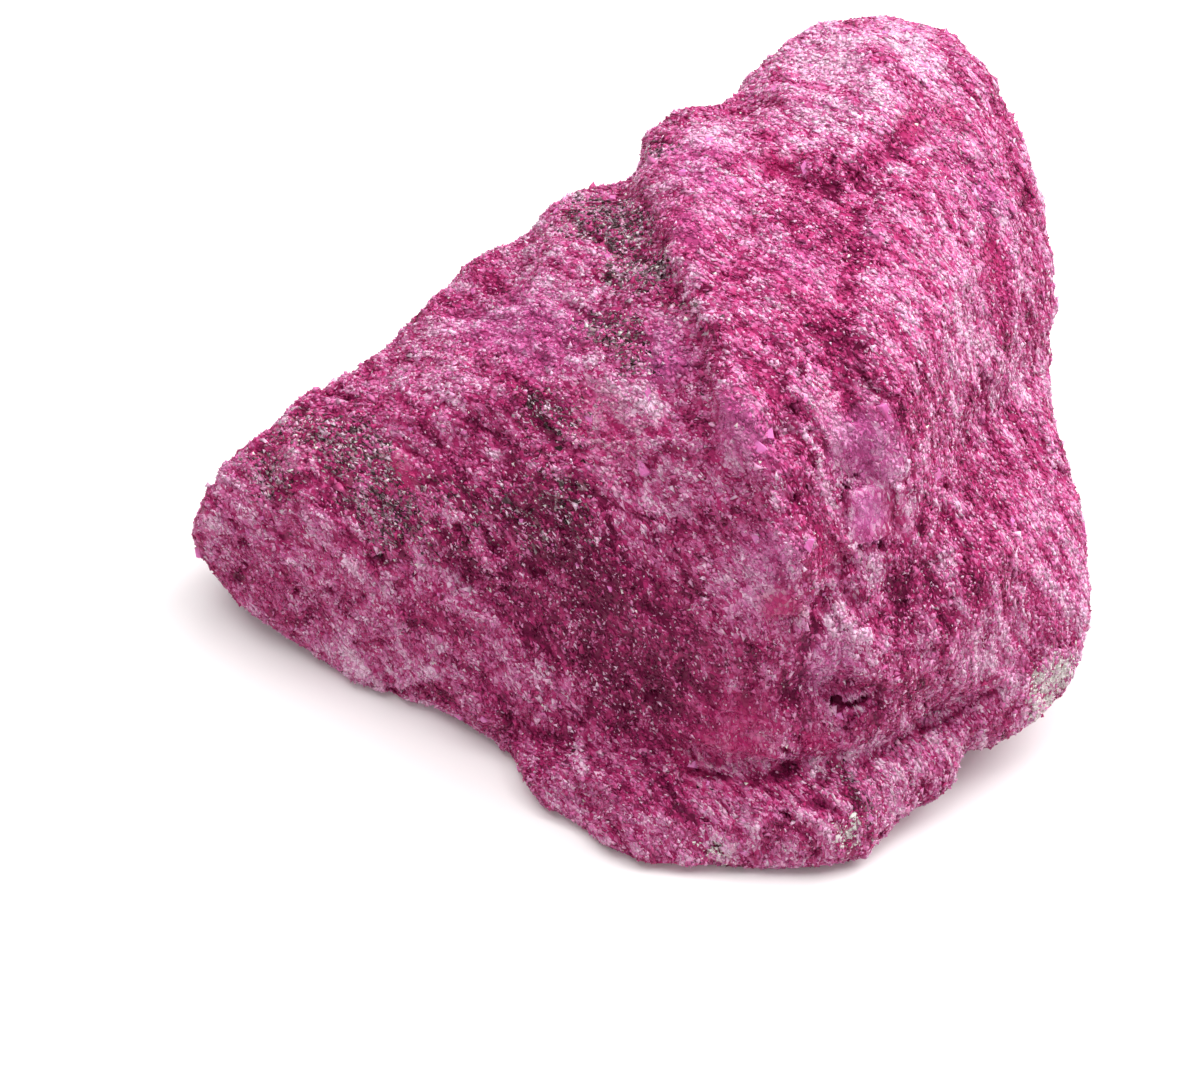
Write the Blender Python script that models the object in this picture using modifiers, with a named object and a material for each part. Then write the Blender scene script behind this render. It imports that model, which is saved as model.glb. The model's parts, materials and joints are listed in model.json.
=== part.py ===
"""A raw ruby crystal: one broken lump of massive ruby, built as a single solid.

Convex blocks, each the hull of its own corner points, make the big fracture faces. They are joined,
remeshed and softened into one stone. Grooves, spines, pits and a broken grain are then worked into its
skin, and at last a flat parting face is cut underneath, on which the stone rests.

Blender's unit is the metre. The sizes here are in millimetres, and are scaled where a block is made.
X runs to the right, Y to the back and Z up.
"""

import math

import bmesh
import bpy
from mathutils import Matrix, Vector, noise
from mathutils.bvhtree import BVHTree

MM = 0.001

# Corner points of the blocks, in mm, one list for each block.
BLOCKS = {
    # The inside of the stone, which backs all the others.
    "core": [
        (2, 8, 31), (8, -6, 37), (14, -12, 40), (24, -8, 39), (26, 14, 37), (12, 12, 35),
        (14, -22, 26), (28, -18, 22), (33, 4, 24), (-12, 2, 20), (-20, -6, 8), (0, -22, 4),
        (2, -26, -2), (28, -22, -2), (33, 0, -2), (24, 20, -2), (2, 20, -2), (-14, 4, -2), (-10, -14, -2),
    ],
    # The long wedge that runs out to the low tip on the left, with a broad face towards the front.
    "left_wedge": [
        (-33.5, -5.5, 11.2), (-33.8, -5.5, 5), (-29.3, -3.2, 16), (-25, -1, 19.2), (-20, 1.5, 22.2),
        (-16, 3.4, 24.8), (-9.5, 7.2, 29.8), (-5, 8.8, 32), (0, 10.5, 34), (4, 9.5, 35.5),
        (-27, -5, 13), (-22, -5.5, 16), (-14, -6.5, 20), (-8, -7, 24.5), (-1.5, -7, 30.5), (2, -6, 36),
        (4, -12, 35.5), (7, -6, 39.3), (8, -12, 38.5), (10, -17, 36.5), (12, -21, 33), (13.5, -23.5, 29),
        (15, -25.5, 22),
        (-29, -9, 2), (-22, -14, 0), (-12, -18, -1), (-2, -23, -1), (2, -26, 7), (8, -25.5, 15),
        (8, -28, 10),
        (-26, 2, 4), (-19, 9, 2), (-8, 15, 1), (2, 17, 4), (2, 14, 22),
    ],
    # The tall middle of the stone, whose left edge is the long ridge down the front.
    "middle": [
        (7, -5, 40), (8, -12, 40.5), (10, -17, 38.5), (12, -20.5, 35.5), (14, -23.5, 31), (16.5, -25, 24),
        (17, -26, 19), (16, -28, 12), (13, -29, 9.5), (8, -28, 9), (20.5, -28, 11), (24.5, -27, 12),
        (13, -7, 43), (18, -8, 43.5), (19, -12, 43), (21, -16, 40), (12.5, 3, 41.8), (17, 4, 42.8),
        (24, 4, 43),
        (22, -18, 36.5), (20.5, -20, 32), (26.5, -6, 40), (27, -11, 33), (31, 0.5, 36), (35, -1, 27),
        (35, 5, 30), (26, -16, 28), (10, -26, 4), (30, -20, 4), (34, 0, 4), (8, 10, 10), (10, 2, 36),
    ],
    # The head at the back right, the highest part.
    "head": [
        (11, 16.4, 38.3), (12.9, 18.4, 40.3), (15.3, 20, 41), (19, 21, 41), (22.5, 21, 41),
        (25.5, 20.5, 41),
        (28, 19, 41), (30, 16.2, 40), (31.5, 13.2, 38), (33, 10.8, 35), (34, 8, 32), (34.3, 5, 29),
        (22, 12, 44.3), (12.5, 4, 42.5), (19, 3, 43.4), (24.5, 5, 43.8), (28.5, 8.5, 42), (29, 0, 39),
        (16, -3, 43.2), (13, 12, 42), (9, 4, 40), (8, 14, 32), (6, 19, 14), (12, 23, 3), (24, 25, 2),
        (32, 18, 2), (36, 12, 12), (37, 4, 16), (34, 0, 4),
    ],
    # The lower right side, out to the pale corner.
    "right_flank": [
        (34.7, 0, 27), (34.7, -4, 25), (35.5, -7.5, 23), (37.3, -12, 20), (38, -15.5, 16), (38.3, -17, 13),
        (38, -18.5, 10), (36.5, -20.5, 8), (34, -22.5, 6), (30.5, -24.5, 5), (26, -16, 29), (30, -19.5, 24),
        (24.5, -23, 23), (34, -18.5, 17), (27.5, -25, 15), (32, -21.5, 14.5), (18, -25, 14),
        (36, -14, 2), (38, -5, 4), (37, 4, 6), (20, -22, -1), (20, 0, 20), (28, -20, -1),
    ],
    # The low foot along the front.
    "foot": [
        (-5, -27, 0.5), (-6, -25, 3.5), (-9, -19, 0), (9.5, -34.2, 0), (3, -32.3, 0.5), (-0.3, -30.3, 1.5),
        (19.5, -33.2, 1), (22.5, -32, 2), (28.3, -28.3, 3.5),
        (2.5, -30, 6), (11, -32, 6), (18.5, -31.5, 6.5), (25, -29.3, 7), (30, -24.7, 9), (4, -26, 8.5),
        (15, -28, 9), (21, -28, 9.5), (8, -29, -3), (22, -27, -3), (1, -26, -2), (10, -10, 6), (26, -14, 4),
    ],
    # The knob at the upper end of the ridge.
    "knob": [
        (2.2, 12, 35.6), (4.5, 14.8, 37.6), (7, 15.7, 38.8), (9.3, 15.5, 38.5), (10, 8, 41), (8, 0, 41.2),
        (4, 4, 38.5), (2.6, 8, 37), (3, 13, 26), (13, 12, 28), (3.5, -1, 35), (13, 2, 40), (7, -6, 41),
        (12.5, 15, 39.5),
    ],
    # A thick shelf low on the back.
    "back_shelf": [
        (4, 22, 6), (16, 28, 5), (27, 27, 4), (6, 20, 20), (16, 25, 22), (26, 24, 20), (10, 10, 20),
        (26, 10, 20), (8, 19, -2), (24, 22, -2), (20, 26, 14),
    ],
}

VOXEL = 0.7  # mm, the size of the cubes that the joined blocks are remeshed from
SOFTEN_STEPS = 5
SETTLE_STEPS = 2
FACES_KEPT = 10300  # before the parting face is cut
SHARP_ANGLE = math.radians(24)

# The broken skin, in mm: the size across of one swelling, step, fracture plane or chip, and its height.
SWELL = (15.0, 0.8)
STEP = (9.0, 0.4)
STEPS_EACH = 5
PLANE = (9.0, 1.6)
CHIP = (4.0, 0.6)
# The stone is layered: its layers face this way, and everything in them is this much thinner across.
LAYERS_FACE = Vector((0.77, 0.62, -0.1)).normalized()
LAYERS_THIN = 1.9
SEED = 7
LEAN_SPREAD = 7.3  # how far apart the leans of neighbouring planes are drawn
STEP_PLACE = Vector((1, 8, 2))  # sets the pattern of the steps apart from that of the swellings
RISER = 4  # the power that makes a step's riser steep
# The front is calmer than the back: the share of the swellings and steps that it keeps, where it ends
# along Y and over what depth the skin turns ragged behind it, in mm.
FRONT_SHARE = 0.5
FRONT_END = -2.0
FRONT_TO_BACK = 16.0

# Furrows (negative height) and ridges along the skin: points, height and half width, in mm.
LINES = {
    "groove under the head": ([(12.6, 2.7, 43), (17.2, -0.7, 43.5), (20, 1, 44.2)], -0.9, 1.7),
    "groove up the head": ([(20, 1, 44.2), (24.5, 5.3, 44.3), (27, 8, 43.5)], -0.7, 1.3),
    "groove down the right face": ([(18.5, -0.5, 44), (17.5, -6, 43.5), (17.5, -11, 43)], -0.7, 1.8),
    "spine": ([(18.7, -12, 43), (20.7, -16, 40), (22.2, -18, 36.5), (20.5, -20, 32)], 0.6, 1.5),
    "hollow by the spine": ([(17, -13.3, 42), (17.5, -17, 38.5), (18, -19.5, 34)], -0.8, 2.0),
    "ledge over the foot": ([(1, -26, 8), (4.6, -26.5, 9), (7.7, -28.3, 9), (14.6, -29.2, 9),
                             (20.7, -28.9, 9.5), (24.6, -27.4, 10), (30, -24, 11)], -1.1, 1.2),
    "long ridge": ([(7.7, 11, 38), (7.2, -6, 40), (8.3, -12.5, 40), (10.2, -17.3, 38), (12, -20.5, 35),
                    (14, -23, 30.5), (16.6, -24.2, 24), (17.3, -25.1, 20)], 0.4, 2.0),
    "trough left of the knob": ([(0.5, 6, 35), (3, -2, 37)], -0.5, 2.0),
    "furrow down the front": ([(17, -25.5, 26), (18.5, -26, 20), (18, -27.5, 14)], -0.7, 1.3),
    "edge of the right strip": ([(31, 7, 40.5), (31.5, -1, 36), (31, -7, 31)], 0.5, 1.2),
}

# Pits and hollows: centre, depth and radius, in mm.
PITS = [
    ((-8, -11.5, 14.5), 2.2, 1.6),
    ((13, -18.5, 38), 1.1, 1.3),
    ((17, -26.5, 17), 1.4, 1.6),
    ((20, -27, 16), 1.1, 1.4),
    ((11, -31, 6), 1.0, 1.3),
    ((24, -27, 13), 0.9, 1.5),
    ((-2, -29, 4), 1.2, 1.6),
    ((30, -11, 29), 0.9, 4.0),
    ((24.5, -22.5, 23), 0.9, 3.0),
    ((-18, 8, 12), 1.5, 4.5),
    ((22, 26, 24), 1.2, 3.5),
    ((37, 2, 20), 1.2, 4.0),
    ((-1, 15, 20), 1.3, 2.6),
]


def clear_scene():
    for old in list(bpy.data.objects):
        bpy.data.objects.remove(old)


def collection(name):
    made = bpy.data.collections.new(name)
    bpy.context.scene.collection.children.link(made)
    return made


def block(name, corners, blocks):
    """One convex block: the hull of its corner points."""
    form = bmesh.new()
    for corner in corners:
        form.verts.new(Vector(corner) * MM)
    hull = bmesh.ops.convex_hull(form, input=form.verts)
    spare = {v for v in hull["geom_interior"] + hull["geom_unused"] if isinstance(v, bmesh.types.BMVert)}
    bmesh.ops.delete(form, geom=sorted(spare, key=lambda vertex: vertex.index), context="VERTS")
    mesh = bpy.data.meshes.new(name)
    form.to_mesh(mesh)
    form.free()
    made = bpy.data.objects.new(name, mesh)
    made.hide_render = True
    made.display_type = "WIRE"
    blocks.objects.link(made)
    return made


def apply_modifiers(stone):
    """Turns the stone's modifiers into plain mesh."""
    graph = bpy.context.evaluated_depsgraph_get()
    shaped = bpy.data.meshes.new_from_object(stone.evaluated_get(graph))
    stone.modifiers.clear()
    old = stone.data
    stone.data = shaped
    bpy.data.meshes.remove(old)


def join_blocks(stone, blocks):
    """The blocks joined with the stone by Boolean unions, as one skin with softened edges."""
    for other in blocks:
        union = stone.modifiers.new("join " + other.name, "BOOLEAN")
        union.operation = "UNION"
        union.object = other
    skin = stone.modifiers.new("one skin", "REMESH")
    skin.mode = "VOXEL"
    skin.voxel_size = VOXEL * MM
    soften = stone.modifiers.new("soften", "SMOOTH")
    soften.factor = 0.5
    soften.iterations = SOFTEN_STEPS
    apply_modifiers(stone)


def distance_to_line(place, points):
    """The shortest distance from a place to a run of straight stretches."""
    best = math.inf
    for start, end in zip(points, points[1:]):
        along = end - start
        share = max(0.0, min(1.0, (place - start).dot(along) / along.length_squared))
        best = min(best, (place - start - along * share).length)
    return best


def stepped(value):
    """A rising value turned into treads and risers."""
    tread = math.floor(value)
    rise = value - tread
    return tread + rise ** RISER / (rise ** RISER + (1 - rise) ** RISER)


def tilted_planes(place, size, high):
    """Height of small planes at a place, one to each cell of a broken pattern, each tilted its own way."""
    cell = noise.voronoi(place / size)[1][0]
    return (place / size - cell).dot(noise.noise_vector(cell * LEAN_SPREAD)) * high


def broken_grain(place):
    """Height of the swellings, steps, fracture planes and chips at a place, in mm."""
    ragged = max(0.0, min(1.0, (place.y - FRONT_END) / FRONT_TO_BACK))
    share = FRONT_SHARE + (1 - FRONT_SHARE) * ragged
    size, high = SWELL
    height = noise.noise(place / size) * high * share
    size, high = STEP
    height += stepped(noise.noise(place / size + STEP_PLACE) * STEPS_EACH) * high * share
    layered = place + LAYERS_FACE * place.dot(LAYERS_FACE) * (LAYERS_THIN - 1)
    height += tilted_planes(layered, *PLANE) * share
    height += tilted_planes(layered, *CHIP)
    return height


def work_skin(stone):
    """Moves the skin in and out along its normals: the broken grain, then each line and pit."""
    noise.seed_set(SEED)
    form = bmesh.new()
    form.from_mesh(stone.data)
    form.normal_update()
    tree = BVHTree.FromBMesh(form)

    def on_skin(point):
        return tree.find_nearest(Vector(point) * MM)[0] / MM

    lines = [([on_skin(p) for p in points], high, wide) for points, high, wide in LINES.values()]
    pits = [(on_skin(centre), depth, radius) for centre, depth, radius in PITS]
    moves = []
    for vertex in form.verts:
        place = vertex.co / MM
        height = broken_grain(place)
        for points, high, wide in lines:
            height += high * math.exp(-(distance_to_line(place, points) / wide) ** 2)
        for centre, depth, radius in pits:
            height -= depth * math.exp(-((place - centre).length / radius) ** 2)
        moves.append(vertex.normal * height * MM)
    for vertex, move in zip(form.verts, moves):
        vertex.co += move
    form.to_mesh(stone.data)
    form.free()
    settle = stone.modifiers.new("settle", "SMOOTH")
    settle.factor = 0.5
    settle.iterations = SETTLE_STEPS
    apply_modifiers(stone)


def reduce_faces(stone):
    """Fewer and larger triangles, which read as small fracture planes."""
    faces = sum(len(face.vertices) - 2 for face in stone.data.polygons)
    fewer = stone.modifiers.new("fewer faces", "DECIMATE")
    fewer.ratio = FACES_KEPT / faces
    apply_modifiers(stone)


def cut_parting_face(stone):
    """Cuts the underside off flat at the height of zero."""
    form = bmesh.new()
    form.from_mesh(stone.data)
    everything = form.verts[:] + form.edges[:] + form.faces[:]
    up = Vector((0, 0, 1))
    bmesh.ops.bisect_plane(form, geom=everything, dist=1e-7, plane_co=up * 0, plane_no=up, clear_inner=True)
    rim = [edge for edge in form.edges if edge.is_boundary]
    bmesh.ops.holes_fill(form, edges=rim, sides=0)
    bmesh.ops.triangulate(form, faces=[face for face in form.faces if len(face.verts) > 3])
    form.to_mesh(stone.data)
    form.free()


def stand_over_origin(stone):
    """Puts the middle of the stone's box over the origin."""
    places = [vertex.co for vertex in stone.data.vertices]
    middle = [(min(p[axis] for p in places) + max(p[axis] for p in places)) / 2 for axis in (0, 1)]
    stone.data.transform(Matrix.Translation((-middle[0], -middle[1], 0)))


def ruby_material():
    """Massive ruby: deep magenta pink, with the dull shine of a fresh break."""
    material = bpy.data.materials.new("Massive ruby")
    material.use_nodes = True
    shader = material.node_tree.nodes["Principled BSDF"]
    shader.inputs["Base Color"].default_value = (0.50, 0.06, 0.22, 1)
    shader.inputs["Roughness"].default_value = 0.5
    shader.inputs["Metallic"].default_value = 0.0
    return material


def ruby_crystal(collected):
    """The whole stone, from its blocks to its parting face."""
    blocks = collection("Blocks")
    made = [block(name, corners, blocks) for name, corners in BLOCKS.items()]
    stone = bpy.data.objects.new("ruby_crystal", made[0].data.copy())
    collected.objects.link(stone)
    join_blocks(stone, made[1:])
    work_skin(stone)
    reduce_faces(stone)
    cut_parting_face(stone)
    stand_over_origin(stone)
    stone.data.materials.clear()
    stone.data.materials.append(ruby_material())
    stone.data.shade_smooth()
    stone.data.set_sharp_from_angle(angle=SHARP_ANGLE)
    return stone


def main():
    clear_scene()
    ruby_crystal(collection("Raw ruby crystal"))


main()
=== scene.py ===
"""The look of a lump of raw ruby: its broken skin, sugary grains, mica, crumbs of matrix and a studio.

It is laid out as an add-on and run as a script. Lengths in the tables are in millimetres.
"""

import json
import math

import bpy
import numpy as np
from bpy.props import FloatProperty, FloatVectorProperty, IntProperty, PointerProperty
from mathutils import Matrix, Quaternion, Vector, noise

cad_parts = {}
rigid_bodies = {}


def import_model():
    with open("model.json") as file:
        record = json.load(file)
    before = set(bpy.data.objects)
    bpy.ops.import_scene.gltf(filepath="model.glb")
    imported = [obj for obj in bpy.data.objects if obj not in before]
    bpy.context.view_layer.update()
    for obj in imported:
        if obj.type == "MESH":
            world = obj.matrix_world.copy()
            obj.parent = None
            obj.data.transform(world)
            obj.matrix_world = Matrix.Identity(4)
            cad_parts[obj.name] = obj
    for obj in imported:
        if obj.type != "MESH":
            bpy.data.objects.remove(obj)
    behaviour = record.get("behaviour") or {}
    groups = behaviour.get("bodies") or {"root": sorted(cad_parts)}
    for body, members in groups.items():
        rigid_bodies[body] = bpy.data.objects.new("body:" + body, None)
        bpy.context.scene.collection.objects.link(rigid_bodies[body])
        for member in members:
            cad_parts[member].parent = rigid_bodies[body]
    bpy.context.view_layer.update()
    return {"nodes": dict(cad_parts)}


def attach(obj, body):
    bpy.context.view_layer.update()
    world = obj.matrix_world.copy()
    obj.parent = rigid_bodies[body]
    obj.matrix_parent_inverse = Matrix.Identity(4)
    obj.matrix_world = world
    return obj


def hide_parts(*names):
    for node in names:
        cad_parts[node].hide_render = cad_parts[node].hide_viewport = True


bl_info = {
    "name": "Raw ruby crystal",
    "version": (1, 0, 0),
    "blender": (4, 5, 0),
    "location": "3D View > Sidebar > Raw ruby",
    "description": "Dresses a lump of massive ruby with its broken skin, grains, mica and studio",
    "category": "Object",
}

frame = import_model()

MM = 0.001
BODY = "root"
SOLID = "ruby_crystal"
SKIN = "ruby_skin"
SEED = 11
UV_MAP = "OFBake"
GRAIN_PIECES = 4
GRAIN_SHAPES = 60
RUBY_IOR = 1.76
SKIN_CELLS = 2100.0

# The stone is built of thin layers that face this way. Patterns are this much thinner across them.
LAYERS_FACE = Vector((0.64, 0.76, -0.08)).normalized()
LAYERS_THIN = 2.0
FIBRES_THIN = 4.0
BANDS_THIN = 4.8
SEAMS_THIN = 4.0
STREAKS_THIN = 6.0

# Steps between the layers: thickness in mm, share of the step's height.
LAYER_STEPS = [(2.7, 1.0), (1.1, 0.3)]

# Tilted fracture faces: size in mm, share of their height, shift of the pattern.
CHIPS = [(2.6, 1.0, (0, 0, 0)), (1.1, 0.45, (0, 0, 0)), (6.5, 2.2, (3, 8, 5))]

# How far the skin is sunk so that the grains reach the solid's face, and how deep its seams are, in mm.
SKIN_SUNK = 0.15
SEAM_DEPTH = 0.18

# Heights over the floor, in mm, that let the stone rest flat: the relief fades between the first two, no
# grain is set on a face lower than the third, and no grain reaches lower than the last.
RELIEF_WHOLE = 0.9
RELIEF_FADED = 0.15
GRAINS_ABOVE = 0.25
GRAINS_END = 0.01

# A hollow is this far under the skin around it, in mm, taken over this many rounds of neighbours.
HOLLOW_DEPTH = 0.4
HOLLOW_ROUNDS = 14

# How far drawn patches, lines and flat faces are shaken out of their places, in mm.
PATCH_SHAKE = 1.1
LINE_SHAKE = 0.5
FLAT_SHAKE = 0.25

# How much paler or darker the forms and patches make the ruby. Hollows get painted shade and the raised
# places between them painted light, carved lines get painted shade, and the edges of the flat faces a
# painted highlight.
TONE = {
    "plain": 0.55,
    "pale": 0.27,
    "deep": 0.40,
    "hollow": 0.40,
    "seam": 0.22,
    "painted_crease_shade": 0.36,
    "mica": 0.30,
    "rim": 0.18,
    "edge": 0.22,
    "streak": 0.45,
    "crimson": 0.10,
}

# Patches of colour and polish: centre, reach along the layers, reach across them, strength.
PATCHES = {
    "mica": [
        ((-2.5, 7.8, 35.1), 4.5, 2.2, 0.75),
        ((-0.6, 5.8, 36.1), 3.5, 1.8, 0.9),
        ((0.5, 0.6, 36.9), 4.0, 1.7, 0.85),
        ((-1.7, -3.8, 35.4), 3.5, 1.5, 0.7),
        ((3.4, -4.6, 38.7), 3.0, 1.2, 0.35),
        ((2.1, 11.7, 38.6), 3.0, 1.4, 0.5),
        ((-6.2, -7.6, 30.0), 3.5, 1.4, 0.5),
        ((-5.5, -12.3, 26.9), 4.0, 1.4, 0.35),
        ((-8.6, -11.9, 22.5), 3.5, 1.3, 0.3),
        ((-13.6, -9.8, 21.7), 4.0, 1.2, 0.3),
        ((-0.3, -6.1, 35.8), 2.6, 1.0, 0.5),
        ((-26, -1, 19.6), 5.0, 1.8, 0.45),
        ((-21.9, -3.6, 21.6), 5.5, 1.6, 0.6),
        ((-19.1, -8.3, 18.9), 5.0, 1.6, 0.6),
        ((-28.5, -2.7, 16.7), 4.0, 1.4, 0.45),
        ((17.5, -27.5, 7.5), 4.0, 1.2, 0.4),
        ((24.4, 7.5, 41.5), 5.0, 3.0, 0.1),
        ((20, 22, 24), 6.0, 2.5, 0.7),
        ((-6, 18, 16), 7.0, 2.5, 0.8),
        ((33, 12, 20), 5.0, 2.0, 0.6),
    ],
    "deep": [
        # The first six deep patches, low on the front, are partly the stone's own deep colour and partly
        # painted shadow.
        ((-5.5, -14.6, 21.1), 8.0, 4.5, 1.15),
        ((-1.7, -19.4, 11.9), 8.0, 3.5, 1.0),
        ((-1, -18, 20.7), 6.0, 4.0, 0.8),
        ((-10.9, -12.2, 19.7), 7.0, 3.5, 0.8),
        ((5, -21.3, 20.2), 7.0, 4.0, 0.55),
        ((0.6, -25.1, 8.0), 6.0, 3.0, 0.6),
        ((14.5, 3.6, 42.6), 3.2, 2.6, 0.35),
        ((-1.0, 3.7, 35.7), 3.0, 1.8, 0.45),
        ((15.7, -2.3, 42.7), 4.0, 1.8, 0.6),
        ((14.7, -9, 41.6), 3.0, 1.6, 0.4),
        ((-8.5, -7.6, 28.2), 7.0, 2.2, 0.2),
        ((25.3, -9.8, 27.3), 4.0, 2.6, 0.7),
        ((20.6, -19.7, 23.1), 3.8, 2.6, 0.95),
        ((20.2, -23.3, 15.1), 3.4, 2.2, 0.5),
        ((21.4, -10.5, 37.8), 3.0, 1.6, 0.5),
        ((24.3, -16.2, 25.9), 5.0, 3.5, 0.3),
        ((22.3, -10.7, 35.6), 3.0, 2.0, 0.6),
        ((11.4, -28.5, 6.1), 4.0, 2.5, 0.2),
        ((29.9, 10.1, 37), 3.0, 2.0, 0.6),
        ((10, -24.5, 15), 4.0, 2.0, 0.5),
        ((24, 27, 14), 9.0, 4.0, 0.7),
        ((-16, 9, 8), 9.0, 3.5, 0.7),
        ((34, 0, 10), 6.0, 3.0, 0.6),
    ],
    "crimson": [
        ((10.6, 6.8, 41.8), 1.8, 1.2, 0.9),
        ((12, -5.9, 42.4), 3.5, 2.0, 0.4),
        ((7.5, -15.3, 38.0), 3.2, 1.8, 0.55),
        ((21, 9, 43.2), 1.9, 1.2, 0.9),
        ((23.5, 11.4, 42.3), 1.5, 0.9, 0.9),
        ((26.6, 0.9, 37.3), 2.0, 1.2, 0.8),
        ((4.1, 1.2, 41.4), 2.6, 1.8, 0.4),
        ((16.6, -15.3, 36.9), 3.2, 2.6, 0.3),
        ((15, -14, 39.5), 2.4, 1.8, 0.4),
        ((-2.5, -9.4, 31.7), 4.5, 1.8, 0.5),
        ((-17.9, -6.5, 22.1), 2.4, 1.3, 1.0),
        ((8.2, -24.8, 11.7), 4.5, 2.6, 0.7),
        ((-25.9, -2.9, 19.5), 4.5, 2.5, 0.3),
        ((10.9, -21.9, 25.7), 1.7, 1.3, 1.0),
        ((14.7, -24.9, 11.6), 1.6, 1.0, 0.8),
        ((14, -20, 29), 2.4, 1.2, 0.6),
        ((5, -24.7, 9), 3.5, 1.5, 0.6),
        ((30, 18, 26), 4.0, 2.0, 0.8),
        ((8, 24, 26), 4.0, 2.4, 0.8),
        ((-24, 5, 9), 4.0, 1.8, 0.7),
    ],
    "pale": [
        # Painted light: a wide pale patch over the lit right side and top.
        ((25, 0, 36), 15.0, 10.0, 0.12),
        ((-20.5, -4.5, 21.6), 5.0, 2.6, 0.25),
        ((18.7, 16.2, 44.3), 9.0, 6.0, 0.75),
        ((12.6, 13.8, 42.4), 6.0, 4.0, 0.2),
        ((5.5, 11.6, 40.4), 3.0, 1.6, 0.8),
        ((16.9, 10.2, 44.1), 5.0, 3.0, 0.5),
        ((4.3, 9.3, 40.8), 4.0, 2.5, 0.4),
        ((15.8, -21.2, 23.8), 2.8, 1.6, 0.75),
        ((16.6, -15.6, 36.5), 3.4, 2.4, 1.15),
        ((19.4, -17.6, 30.8), 2.6, 1.8, 0.35),
        ((17.3, -17.6, 31.1), 2.2, 2.0, 0.25),
        ((24.3, -16.2, 25.9), 4.5, 3.0, 0.1),
        ((2.6, -28.0, 5.2), 3.4, 1.6, 0.5),
        ((9.6, -29.0, 4.6), 3.4, 1.6, 0.4),
        ((13.5, -16.5, 36.0), 1.8, 0.7, 0.9),
        ((8.5, -21.9, 25.6), 3.0, 2.0, 1.0),
        ((6.7, -0.3, 41.4), 3.0, 2.0, 0.6),
        ((14.5, -22.8, 18.5), 2.8, 1.5, 0.5),
        ((9.9, -21.4, 28.1), 2.6, 1.4, 0.8),
        ((6, 3.3, 41.8), 3.6, 1.5, 0.6),
        ((7.3, -4.1, 41.4), 3.0, 1.2, 0.3),
        ((-16.4, -0.2, 26.2), 9.0, 3.0, 0.28),
        ((24.4, 7.5, 41.5), 6.0, 4.0, 0.45),
        ((28.8, 4.6, 36.9), 5.0, 3.0, 0.5),
        ((-1, -10, 32.4), 5.0, 2.5, 1.05),
        ((9.9, -20.7, 29.7), 4.0, 2.5, 0.75),
        ((19.1, -8.6, 41.2), 5.0, 3.0, 0.1),
        ((24.9, -4.2, 35.8), 5.0, 3.0, 0.95),
        ((19, -15.2, 37.9), 4.0, 0.9, 0.9),
        ((7.5, -14.7, 38.5), 3.0, 1.5, 0.1),
        ((11.2, -20.3, 31.6), 3.0, 2.0, 0.7),
        ((8.5, -21.7, 25.3), 3.6, 2.6, 0.7),
        ((32.7, -13.3, 19.3), 6.0, 4.0, 0.9),
        ((28, -18.9, 16.7), 5.0, 3.0, 0.5),
        ((20.6, -27, 7.5), 5.0, 3.0, 0.5),
        ((18, -21, 26), 3.0, 1.6, 0.6),
        ((0.5, -13.1, 30.4), 1.2, 0.6, 0.8),
        ((30, 22, 34), 6.0, 3.0, 0.7),
        ((-2, 24, 26), 7.0, 3.0, 0.5),
    ],
    "violet": [
        ((2.0, -7.2, 36.6), 2.4, 1.3, 0.6),
        ((6, 5, 41.6), 3.0, 1.2, 0.5),
        ((12, -4, 42.5), 3.0, 1.2, 0.3),
        ((28, 5, 40), 3.0, 1.5, 0.5),
        ((16.6, -17.4, 31.1), 2.6, 1.4, 1.0),
        ((16.8, -15.4, 36.4), 3.2, 2.2, 0.85),
        ((7.5, -15.3, 38.0), 3.4, 1.8, 0.65),
        ((14.5, -22.8, 18.8), 3.2, 1.8, 0.45),
        ((9.9, -20.7, 29.7), 3.0, 1.6, 0.35),
        ((8.5, -21.7, 25.3), 2.4, 1.4, 0.25),
        ((4.1, 1.2, 41.4), 2.6, 1.6, 0.4),
        ((24.4, 7.5, 41.5), 5.0, 2.4, 0.15),
        ((-8.6, 0.5, 31.3), 8.0, 3.0, 0.5),
        ((4.3, 9.3, 40.8), 4.0, 2.5, 0.4),
    ],
    "cream": [
        ((32.9, -18.1, 10.1), 2.6, 2.0, 1.0),
        ((31.9, -19.2, 8), 2.4, 1.6, 1.0),
        ((16.5, -29.2, 4.3), 1.8, 1.0, 0.7),
        ((6.8, -29.5, 2.5), 2.0, 1.0, 0.5),
        ((-20, 14, 3), 4.0, 2.0, 0.7),
    ],
    "smooth": [
        ((5, -21.3, 18), 8.0, 6.0, 0.15),
        ((16.6, -15.3, 36.9), 3.0, 3.0, 0.2),
        ((17, -17.7, 31.4), 2.0, 2.0, 0.8),
        ((19.4, -17.6, 30.8), 2.6, 2.2, 0.85),
        ((8.2, -24.8, 11.7), 5.0, 3.0, 0.45),
    ],
}
FIELDS = tuple(PATCHES)

# Corners drawn in: centre, reach and the way that the stone moves there.
DRAWN_IN = [
    ((27.5, 17.3, 41.6), 7.5, (-0.8, -0.4, -0.4)),
    ((14.0, 21.2, 40.8), 6.0, (0.2, 0.0, 0.3)),
    ((-0.5, 11.5, 35.5), 5.0, (0.5, -0.4, -0.2)),
    ((-11.5, 8.5, 29.8), 7.0, (0.6, -0.7, -0.8)),
    ((-21.3, 3.7, 23.2), 7.0, (0.5, -0.5, -0.8)),
    ((23.8, -26.0, 4.8), 8.5, (-0.8, 1.1, 0.0)),
]

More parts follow.
